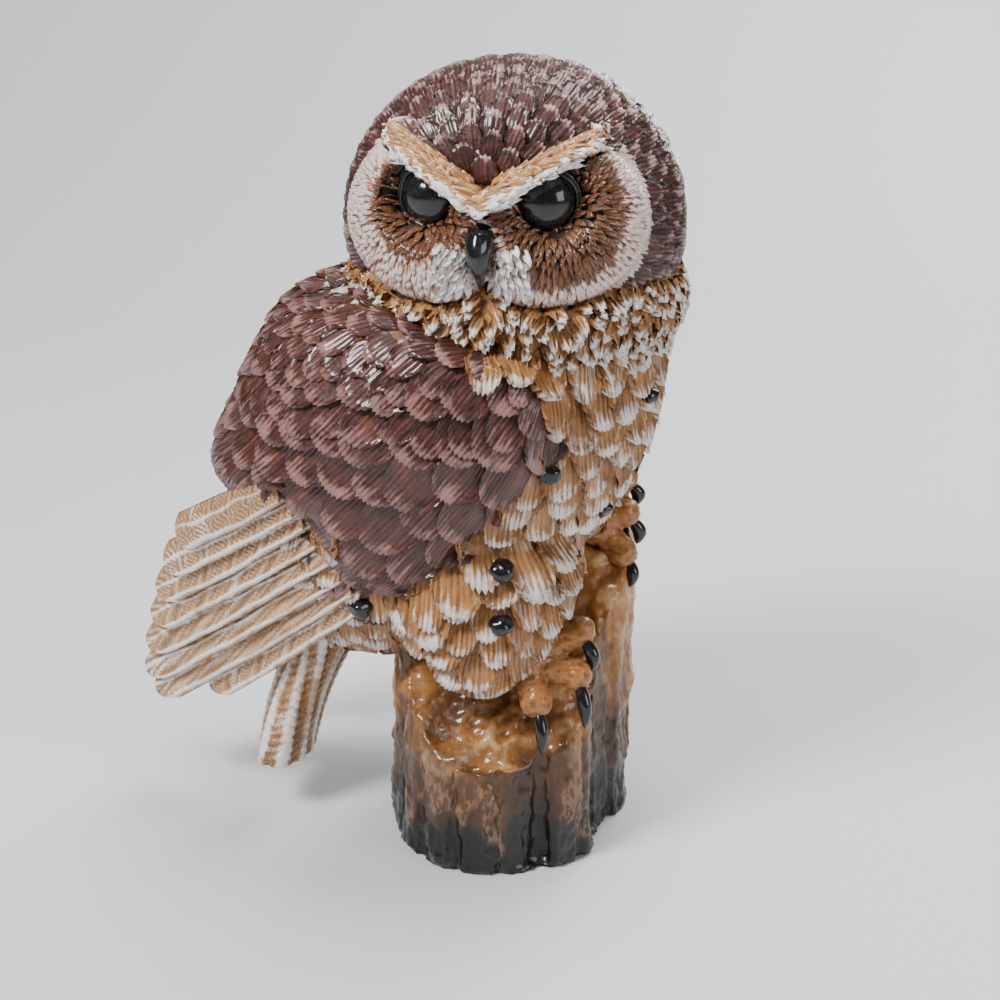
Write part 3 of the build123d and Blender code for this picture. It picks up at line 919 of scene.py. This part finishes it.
def long_blade(plumage, node):
    """Add one long feather that fills a CAD blade: a crowned vane with a shaft and slanting barbs."""
    cloud = node_points(node)
    centre = cloud.mean(0)
    _, _, axes = np.linalg.svd(cloud - centre, full_matrices=False)
    along, across, _ = axes
    if along[2] > 0:
        along = -along
    if across[2] < 0:
        across = -across
    thin = np.cross(along, across)
    spans = [(cloud - centre) @ axis for axis in (along, across, thin)]
    low, high = spans[0].min() - 3, spans[0].max() + 0.5
    half = np.ptp(spans[1]) / 2 * 1.02
    thick = np.ptp(spans[2]) / 2 + 0.35
    outer = thin * np.sign(thin @ right) * (1 if node.startswith("right") else -1)
    rows, columns = 60, 25
    chance = random.uniform()
    u = np.linspace(0, 1, rows)[:, None]
    v = np.linspace(-1, 1, columns)[None, :]
    wander = 0.09 * np.sin(u * 8 + chance * 6) + 0.05 * np.sin(u * 23 + chance * 20)
    run = low + (high - low) * u * (1 - 0.10 * np.abs(v) ** 2.5 * u ** 3)
    wide = half * v * (0.7 + 0.3 * np.minimum(1, u * 2))
    slanting = (high - low) * u / BARB_PITCH + np.abs(v) * 2.2 + 0.3 * np.sin(u * 31 + v * 5)
    barb = 0.5 + 0.5 * np.cos(2 * pi * slanting)
    lip = np.exp(-((v + 0.8 + wander * 0.6) / 0.11) ** 2)
    shaft = np.exp(-((v - 0.3 * chance - wander) / 0.08) ** 2)
    edge = np.sqrt(np.clip(1 - np.abs(v) ** 8, 0, 1)) * np.sqrt(np.clip(1 - u ** 14, 0.02, 1))
    body = (thick * 0.55 + 0.5 * lip + 0.3 * shaft + 0.13 * barb) * edge
    slant = -0.55 * v
    sheets = []
    for rise in (body + slant, slant * 0.4 - body):
        points = centre + along * run[..., None] + across * wide[..., None] + outer * rise[..., None]
        sheets.append(points.reshape(-1, 3))
    mark = np.clip(0.9 * lip + 0.62 * shaft + 0.45 * barb, 0, 1)
    colour = np.stack([mark, u + 0 * v, (v + 1) / 2 + 0 * u, np.full_like(mark, chance)], -1).reshape(-1, 4)
    size = rows * columns
    front = flat_grid(rows, columns)
    back = [[size + i for i in reversed(face)] for face in front]
    ring = Plumage.border(rows, columns)
    walls = [[after, here, size + here, size + after] for here, after in zip(ring, ring[1:] + ring[:1])]
    faces = front + back + [wall[::-1] for wall in walls]
    if np.cross(along, across) @ outer > 0:
        faces = [face[::-1] for face in faces]
    plumage.store(np.concatenate(sheets), faces, np.tile(colour, (2, 1)))


def make_fans():
    """Make both wings' flight feathers."""
    for side in SIDES:
        names = sorted(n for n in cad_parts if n.startswith(f"{side}_flight_feather"))
        fan = Plumage()
        for name in names:
            long_blade(fan, name)
        fan.piece(f"{side}_flight_fan", WING_FAN, "tan_feather", names)


def make_tail():
    """Make the tail: a ridged stub with long feathers on all sides."""
    points, faces, normals = remeshed(["tail"], 0.5, 4)
    tail = node_points("tail")
    low, high = tail[:, 2].min(), tail[:, 2].max()
    centre_low = tail[tail[:, 2] < low + 1].mean(0)
    centre_high = tail[tail[:, 2] > high - 3].mean(0)
    share = ((points[:, 2] - low) / (high - low))[:, None]
    offset = points - (centre_low * (1 - share) + centre_high * share)
    angle = np.arctan2(offset @ right, offset @ forward)
    groove = np.abs(np.cos(angle * TAIL_RIDGES / 2 + 0.4))
    barb = 0.5 + 0.5 * np.cos(points[:, 2] * 3.4 + np.abs(np.sin(angle * TAIL_RIDGES / 2)) * 4)
    points = points + normals * (0.7 * groove + 0.18 * barb - 0.5)[:, None]
    mark = smoothstep(0.5, 1, groove) * 0.6 + barb * 0.25 + rough(points, 4.0, 2) * 0.3
    mark = np.clip(mark, 0, 1)
    paint = np.stack([mark, 1 - share[:, 0], groove, groove * 0 + 0.5], -1)
    make_piece("tail_feathers", points, faces, WING_FAN, ["tail"], paint)


# ---- stump, feet and black details

BARK_RING = 15
PAINTED_HEIGHT = 40


def make_stump():
    """Make the stump: bark ridges round the side and a carved top."""
    points, faces, normals = remeshed(["stump"], 0.5, 4)
    level = smoothstep(0.85, 0.45, np.abs(normals[:, 2]))
    angle = np.arctan2(points[:, 1], points[:, 0])
    ring = np.stack([np.cos(angle) * BARK_RING, np.sin(angle) * BARK_RING, points[:, 2] * 0.12], -1)
    folds = rough(ring, 8.0, 2) * 1.6
    bark = ridged(ring * [1, 1, 2.5], 3.2, 3)
    knots = ridged(points * [1, 1, 0.8], 10.0, 4)
    fine = rough(points * [1, 1, 0.7], 1.6, 4)
    height = level * (folds + 0.35 * bark) + (1 - level) * 0.7 * knots + 0.45 * knots + 0.35 * fine
    height = height - height.mean()
    lift = np.where(points[:, 2] < 0.8, np.minimum(height, 0) * 0.5, height)
    moved = points + normals * (lift - 0.2)[:, None] * [1, 1, 0.8]
    moved[:, 2] = np.maximum(moved[:, 2], 0.0)
    mark = smoothstep(-0.9, 1.0, height)
    # the third channel marks side-facing wood, where wood_paint lays painted shade
    paint = np.stack([mark, np.clip(points[:, 2] / PAINTED_HEIGHT, 0, 1), level, mark], -1)
    make_piece("bark_stump", moved, faces, WOOD, ["stump"], paint)


def make_feet():
    """Make the toes with their folds, and the claws."""
    for side in SIDES:
        points, faces, normals = remeshed([f"{side}_foot"], 0.4, 9)
        fold = np.array([noise.noise(Vector(p * [1, 1, 2.2]) / 1.3) for p in points])
        points = points + normals * (0.2 * fold + 0.15)[:, None]
        mark = 0.35 + 0.35 * smoothstep(-0.5, 0.5, fold)
        paint = np.stack([mark, np.full(len(points), 0.9), mark, mark], -1)
        make_piece(f"{side}_toes", points, faces, SKIN, [f"{side}_foot"], paint)
        for number in range(1, 4):
            make_claw(f"{side}_talon_{number}", f"{side}_claw_{number}")


def make_claw(piece, node):
    """Make one curved, blunt claw along a CAD claw."""
    cloud = node_points(node)
    top = cloud[cloud[:, 2] > cloud[:, 2].max() - 0.8].mean(0)
    tip = cloud[cloud[:, 2] < cloud[:, 2].min() + 0.3].mean(0)
    out = unit(tip - top) * 0.4
    top = top - out * 3
    outward = unit((tip - top) * [1, 1, 0] + [1e-3, 0, 0])
    aside = unit(np.cross(tip - top, outward))
    stations, columns = 16, 16
    points = []
    for k in range(stations + 1):
        t = k / stations
        centre = top * (1 - t) + (tip + out) * t + outward * 0.9 * sin(pi * t)
        size = 1.55 * max(0.05, sin(pi * min(1, 0.12 + 0.88 * t)) ** 0.55) * (1 - 0.25 * t)
        for c in range(columns):
            turn = 2 * pi * c / columns
            points.append(centre + aside * size * 0.85 * cos(turn) + outward * size * sin(turn))
    faces = flipped(tube(stations, columns))
    make_piece(piece, points, faces, BLACK, [node])


def make_flecks():
    """Make the raised black drops in the plumage."""
    rows, columns = 14, 22
    directions = sphere(rows, columns)
    for name in sorted(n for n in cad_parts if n.startswith("black_fleck")):
        centre = node_centre(name)
        size = np.ptp(node_points(name), 0).max() / 2
        lump = np.array([1 + 0.22 * noise.noise(Vector(spot * 1.4 + centre)) for spot in directions])
        points = centre + directions * (size * lump)[:, None] * [0.95, 0.95, 0.8]
        piece = name.replace("black_fleck", "fleck")
        make_piece(piece, points, wrapped(rows, columns), BLACK, [name])


# ---- studio, in metres

CAMERA_PLACE = (-0.0025, -0.319, 0.177)
CAMERA_PITCH = 19.8
CAMERA_LENS = 70.74
LIGHT_AIM = Vector((0, 0, 0.075))
# name, place, size, power in watts
LIGHTS = (
    ("key", (-0.4, -0.35, 0.6), 0.22, 8.0),
    ("fill", (0.55, -0.4, 0.3), 0.35, 2.0),
    ("top", (0.1, 0.05, 0.8), 0.3, 5.0),
    ("rim", (0.3, 0.5, 0.4), 0.3, 3.0),
)


def make_studio():
    """Make the floor, the lights and the camera."""
    mesh = bpy.data.meshes.new("floor")
    wide, deep, tall, bend = 1.6, 0.7, 1.2, 0.35
    profile = [(-1.6, 0.0), (deep - bend, 0.0)]
    profile += [(deep - bend + bend * sin(a), bend - bend * cos(a)) for a in np.linspace(0.1, pi / 2, 14)]
    profile.append((deep, tall))
    points = [(x, y, z) for y, z in profile for x in (-wide, wide)]
    faces = [[2 * k, 2 * k + 1, 2 * k + 3, 2 * k + 2] for k in range(len(profile) - 1)]
    mesh.from_pydata(points, [], faces)
    mesh.polygons.foreach_set("use_smooth", [True] * len(mesh.polygons))
    floor = placed("floor", mesh)
    pale = bpy.data.materials.new("pale_floor")
    pale.use_nodes = True
    shader = pale.node_tree.nodes["Principled BSDF"]
    shader.inputs["Base Color"].default_value = (0.62, 0.62, 0.63, 1)
    shader.inputs["Roughness"].default_value = 0.6
    mesh.materials.append(pale)

    world = bpy.data.worlds.new("studio")
    world.use_nodes = True
    background = world.node_tree.nodes["Background"]
    background.inputs["Color"].default_value = (0.75, 0.78, 0.82, 1)
    background.inputs["Strength"].default_value = 0.22
    bpy.context.scene.world = world

    for name, place, size, power in LIGHTS:
        light = bpy.data.lights.new(name, "AREA")
        light.size = size
        light.energy = power
        lamp = placed(name, light)
        lamp.location = place
        lamp.rotation_euler = (LIGHT_AIM - Vector(place)).to_track_quat("-Z", "Y").to_euler()

    camera = placed("camera", bpy.data.cameras.new("camera"))
    camera.data.sensor_width = 36
    camera.data.lens = CAMERA_LENS
    camera.data.clip_start = 0.01
    camera.location = CAMERA_PLACE
    camera.rotation_euler = (radians(90 - CAMERA_PITCH), 0, 0)
    bpy.context.scene.camera = camera


make_body()
make_neck()
make_head()
for eye_side, eye_sign in SIDES.items():
    make_eye(eye_side, eye_sign)
make_brow()
make_beak()
make_fans()
make_tail()
make_stump()
make_feet()
make_flecks()
make_studio()
